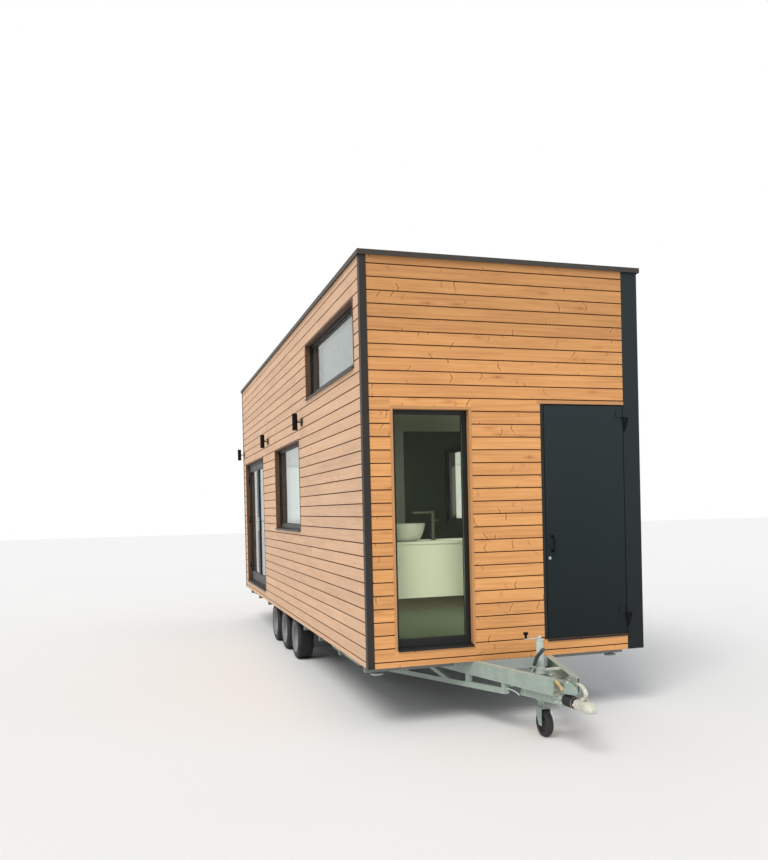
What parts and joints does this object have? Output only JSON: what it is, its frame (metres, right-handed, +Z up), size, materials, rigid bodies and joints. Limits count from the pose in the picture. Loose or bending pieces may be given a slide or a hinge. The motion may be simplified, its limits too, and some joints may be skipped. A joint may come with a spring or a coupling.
{
  "type": "tiny house on a trailer",
  "caption": "Flat-roofed tiny house with timber and dark metal cladding on a multi-axle drawbar trailer, with glazed entrance doors and a utility door.",
  "frame": {"origin": "on the ground, in the middle of the whole assembly's outline", "axes": "+Y from the towing coupling to the rear of the house, +X to the right seen from the coupling, +Z up"},
  "size_m": [2.68, 9.144, 3.895],
  "materials": {
    "framing": "planed framing and board",
    "roofing": "matt roofing membrane",
    "cladding_timber": "planed softwood boards with a light oil",
    "lining_timber": "planed softwood",
    "dark_sheet": "satin coated sheet",
    "dark_frame": "satin powder coat",
    "glass": "clear double glazing",
    "dark_steel": "satin black",
    "bright_steel": "brushed",
    "vanity_board": "pale laminated board",
    "basin_ceramic": "white glaze",
    "galvanised": "hot-dip galvanised",
    "black_rubber": "matt",
    "coupling_paint": "worn pale paint",
    "lever_grip": "dark grip on a plated lever",
    "spring_plating": "yellow zinc plating",
    "wheel": "rubber tyre on a steel rim"
  },
  "bodies": {
    "house": {"floors": "framing", "front_wall": "framing", "left_wall": "framing", "left_wall_pier": "framing", "right_wall": "framing", "rear_wall": "framing", "door_headers": "framing", "roof_deck": "roofing", "roof_coping": "dark_sheet", "timber_cladding": "cladding_timber", "metal_cladding": "dark_sheet", "corner_trims": "dark_sheet", "window_linings": "lining_timber", "sill_flashings": "dark_sheet", "window_frames": "dark_frame", "window_glass": "glass", "door_frames": "dark_frame", "door_hinges": "dark_frame", "wall_lamps": "dark_steel", "vanity": "vanity_board", "basin": "basin_ceramic", "basin_tap": "bright_steel", "trailer_beams": "galvanised", "cross_members": "galvanised", "truss_frames": "galvanised", "axles": "galvanised", "overrun_housing": "galvanised", "coupling_bellows": "black_rubber", "coupling_head": "coupling_paint", "brake_spring": "spring_plating", "jockey_tube": "galvanised"},
    "entrance_leaf_near": {"entrance_leaf_near": "dark_frame", "entrance_glass_near": "glass", "entrance_handle": "dark_steel"},
    "entrance_leaf_far": {"entrance_leaf_far": "dark_frame", "entrance_glass_far": "glass"},
    "utility_door": {"utility_door": "dark_frame", "utility_door_handle": "dark_steel"},
    "coupling_handle": {"coupling_handle": "coupling_paint"},
    "handbrake_lever": {"handbrake_lever": "lever_grip"},
    "jockey_crank": {"jockey_crank": "galvanised"},
    "jockey_leg": {"jockey_leg": "galvanised"},
    "jockey_fork": {"jockey_fork": "galvanised"},
    "jockey_wheel": {"jockey_wheel": "black_rubber"},
    "wheel_left_front": {"wheel_left_front": "wheel"},
    "wheel_left_middle": {"wheel_left_middle": "wheel"},
    "wheel_left_rear": {"wheel_left_rear": "wheel"},
    "wheel_right_front": {"wheel_right_front": "wheel"},
    "wheel_right_middle": {"wheel_right_middle": "wheel"},
    "wheel_right_rear": {"wheel_right_rear": "wheel"},
    "jack_front_left": {"jack_front_left": "galvanised"},
    "jack_front_right": {"jack_front_right": "galvanised"},
    "jack_rear_left": {"jack_rear_left": "galvanised"},
    "jack_rear_right": {"jack_rear_right": "galvanised"}
  },
  "joints": [
    {"name": "entrance_leaf_near_hinge", "type": "hinge", "parent": "house", "child": "entrance_leaf_near", "pos_m": [-1.189, 2.2975, 1.7], "axis": [0, 0, 1], "range_deg": [0, 100]},
    {"name": "entrance_leaf_far_hinge", "type": "hinge", "parent": "house", "child": "entrance_leaf_far", "pos_m": [-1.189, 4.2025, 1.7], "axis": [0, 0, -1], "range_deg": [0, 100]},
    {"name": "utility_door_hinge", "type": "hinge", "parent": "house", "child": "utility_door", "pos_m": [1.1575, -3.297, 1.7], "axis": [0, 0, 1], "range_deg": [0, 120]},
    {"name": "coupling_handle_hinge", "type": "hinge", "parent": "house", "child": "coupling_handle", "pos_m": [0.045, -4.438, 0.421], "axis": [1, 0, 0], "range_deg": [0, 45]},
    {"name": "handbrake_hinge", "type": "hinge", "parent": "house", "child": "handbrake_lever", "pos_m": [-0.015, -3.668, 0.386], "axis": [1, 0, 0], "range_deg": [0, 39]},
    {"name": "jockey_crank_turn", "type": "hinge", "parent": "house", "child": "jockey_crank", "pos_m": [0.045, -3.775, 0.75], "axis": [0, 0, 1], "continuous": true},
    {"name": "jockey_leg_slide", "type": "slide", "parent": "house", "child": "jockey_leg", "axis": [0, 0, 1], "range_m": [-0.1, 0.1]},
    {"name": "jockey_fork_swivel", "type": "hinge", "parent": "jockey_leg", "child": "jockey_fork", "pos_m": [0.045, -3.775, 0.24], "axis": [0, 0, 1], "continuous": true},
    {"name": "jockey_wheel_spin", "type": "hinge", "parent": "jockey_fork", "child": "jockey_wheel", "pos_m": [0.045, -3.83, 0.105], "axis": [1, 0, 0], "continuous": true},
    {"name": "wheel_left_front_spin", "type": "hinge", "parent": "house", "child": "wheel_left_front", "pos_m": [-1.08, 0.312, 0.2625], "axis": [1, 0, 0], "continuous": true},
    {"name": "wheel_left_middle_spin", "type": "hinge", "parent": "house", "child": "wheel_left_middle", "pos_m": [-1.08, 1.067, 0.2625], "axis": [1, 0, 0], "continuous": true},
    {"name": "wheel_left_rear_spin", "type": "hinge", "parent": "house", "child": "wheel_left_rear", "pos_m": [-1.08, 1.822, 0.2625], "axis": [1, 0, 0], "continuous": true},
    {"name": "wheel_right_front_spin", "type": "hinge", "parent": "house", "child": "wheel_right_front", "pos_m": [1.17, 0.312, 0.2625], "axis": [1, 0, 0], "continuous": true},
    {"name": "wheel_right_middle_spin", "type": "hinge", "parent": "house", "child": "wheel_right_middle", "pos_m": [1.17, 1.067, 0.2625], "axis": [1, 0, 0], "continuous": true},
    {"name": "wheel_right_rear_spin", "type": "hinge", "parent": "house", "child": "wheel_right_rear", "pos_m": [1.17, 1.822, 0.2625], "axis": [1, 0, 0], "continuous": true},
    {"name": "jack_front_left_slide", "type": "slide", "parent": "house", "child": "jack_front_left", "axis": [0, 0, 1], "range_m": [-0.12, 0]},
    {"name": "jack_front_right_slide", "type": "slide", "parent": "house", "child": "jack_front_right", "axis": [0, 0, 1], "range_m": [-0.12, 0]},
    {"name": "jack_rear_left_slide", "type": "slide", "parent": "house", "child": "jack_rear_left", "axis": [0, 0, 1], "range_m": [-0.12, 0]},
    {"name": "jack_rear_right_slide", "type": "slide", "parent": "house", "child": "jack_rear_right", "axis": [0, 0, 1], "range_m": [-0.12, 0]}
  ]
}
